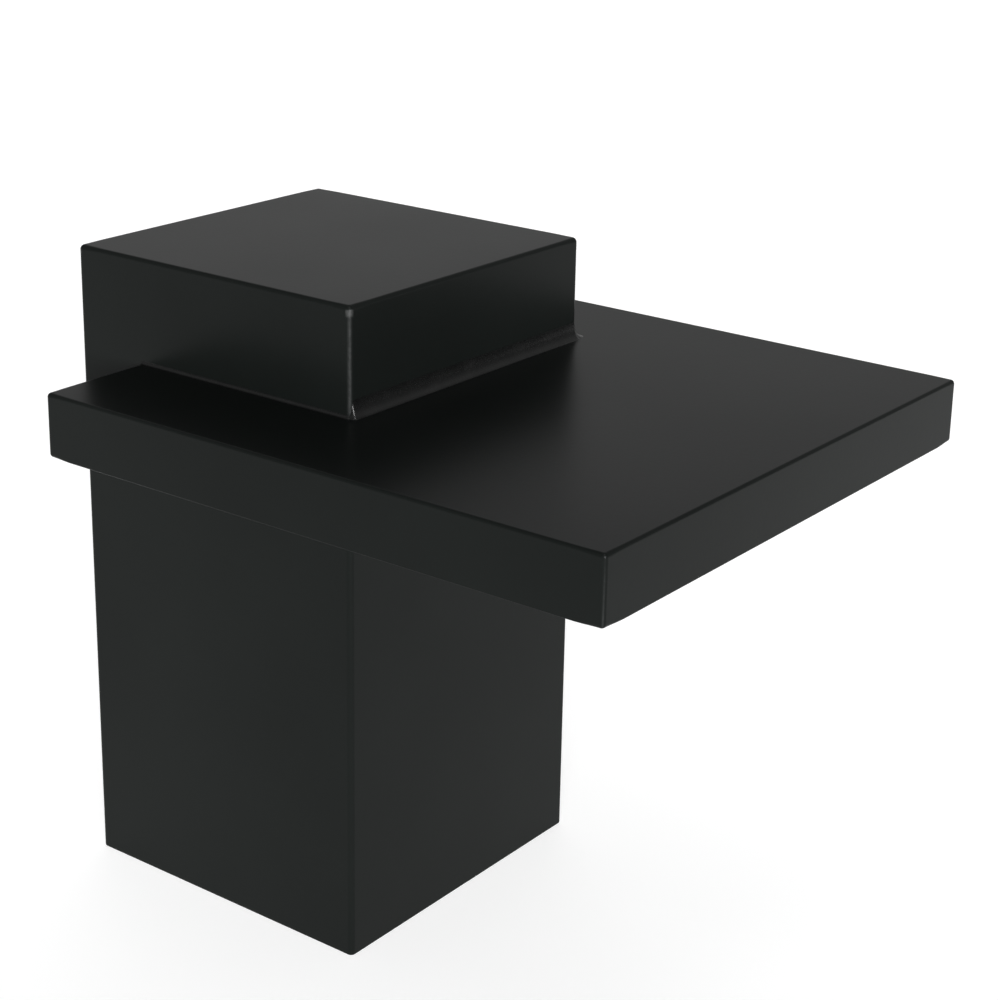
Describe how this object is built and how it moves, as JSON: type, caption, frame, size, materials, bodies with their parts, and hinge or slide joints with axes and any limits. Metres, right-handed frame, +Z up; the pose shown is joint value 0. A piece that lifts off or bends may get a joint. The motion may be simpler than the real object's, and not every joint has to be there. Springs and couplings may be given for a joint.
{
  "type": "fence post cap",
  "caption": "Closed square sleeve cap for a timber post, with a flat rain hood that wraps three sides under a raised block and reaches far out in front.",
  "frame": {"origin": "centre of the rubber face that sits on the post's end, on the sleeve's centre line", "axes": "+Z up along the post; -Y is the front, where the hood reaches out; +X is right"},
  "size_m": [0.17, 0.207, 0.188],
  "materials": {
    "black_coat": "satin fine-texture black powder coat",
    "sealant": "overpainted black sealant",
    "mill_aluminium": "mill finish",
    "stainless": "satin stainless",
    "seat_rubber": "matte sheet rubber",
    "bearing_strip": "matte"
  },
  "bodies": {
    "root": {"post_sleeve": "black_coat", "top_plate": "black_coat", "hood_shell": "black_coat", "hood_cover": "black_coat", "left_arm": "mill_aluminium", "right_arm": "mill_aluminium", "front_spreader": "mill_aluminium", "stop_plate": "mill_aluminium", "seat_pad": "seat_rubber", "seal_bead": "sealant", "arm_bolt_1": "stainless", "arm_bolt_2": "stainless", "arm_bolt_3": "stainless", "arm_bolt_4": "stainless", "arm_washer_1": "stainless", "arm_washer_2": "stainless", "arm_washer_3": "stainless", "arm_washer_4": "stainless", "frame_screw_1": "stainless", "frame_screw_2": "stainless", "shell_nut_1": "stainless", "shell_nut_2": "stainless", "shell_nut_3": "stainless", "shell_nut_4": "stainless", "cover_screw_1": "stainless", "cover_screw_2": "stainless", "cover_screw_3": "stainless", "cover_screw_4": "stainless", "cover_screw_5": "stainless", "cover_screw_6": "stainless", "cover_screw_7": "stainless", "cover_screw_8": "stainless", "left_strip_upper": "bearing_strip", "left_strip_lower": "bearing_strip", "front_strip_upper": "bearing_strip", "front_strip_lower": "bearing_strip"},
    "right_clamp": {"right_clamp_plate": "stainless"},
    "right_screw_upper": {"right_set_screw_upper": "stainless"},
    "right_screw_lower": {"right_set_screw_lower": "stainless"},
    "back_clamp": {"back_clamp_plate": "stainless"},
    "back_screw_upper": {"back_set_screw_upper": "stainless"},
    "back_screw_lower": {"back_set_screw_lower": "stainless"}
  },
  "joints": [
    {"name": "right_clamp_slide", "type": "slide", "parent": "root", "child": "right_clamp", "axis": [-1, 0, 0], "range_m": [0, 0.003]},
    {"name": "right_screw_upper_turn", "type": "hinge", "parent": "right_clamp", "child": "right_screw_upper", "pos_m": [0.047, 0, -0.04], "axis": [-1, 0, 0], "range_deg": [0, 864]},
    {"name": "right_screw_lower_turn", "type": "hinge", "parent": "right_clamp", "child": "right_screw_lower", "pos_m": [0.047, 0, -0.1], "axis": [-1, 0, 0], "range_deg": [0, 864]},
    {"name": "back_clamp_slide", "type": "slide", "parent": "root", "child": "back_clamp", "axis": [0, -1, 0], "range_m": [0, 0.003]},
    {"name": "back_screw_upper_turn", "type": "hinge", "parent": "back_clamp", "child": "back_screw_upper", "pos_m": [0, 0.047, -0.04], "axis": [0, -1, 0], "range_deg": [0, 864]},
    {"name": "back_screw_lower_turn", "type": "hinge", "parent": "back_clamp", "child": "back_screw_lower", "pos_m": [0, 0.047, -0.1], "axis": [0, -1, 0], "range_deg": [0, 864]}
  ],
  "couplings": [
    {"joint": "right_screw_upper_turn", "follows": "right_clamp_slide", "rad_per_m": 5026.5},
    {"joint": "right_screw_lower_turn", "follows": "right_clamp_slide", "rad_per_m": 5026.5},
    {"joint": "back_screw_upper_turn", "follows": "back_clamp_slide", "rad_per_m": 5026.5},
    {"joint": "back_screw_lower_turn", "follows": "back_clamp_slide", "rad_per_m": 5026.5}
  ]
}
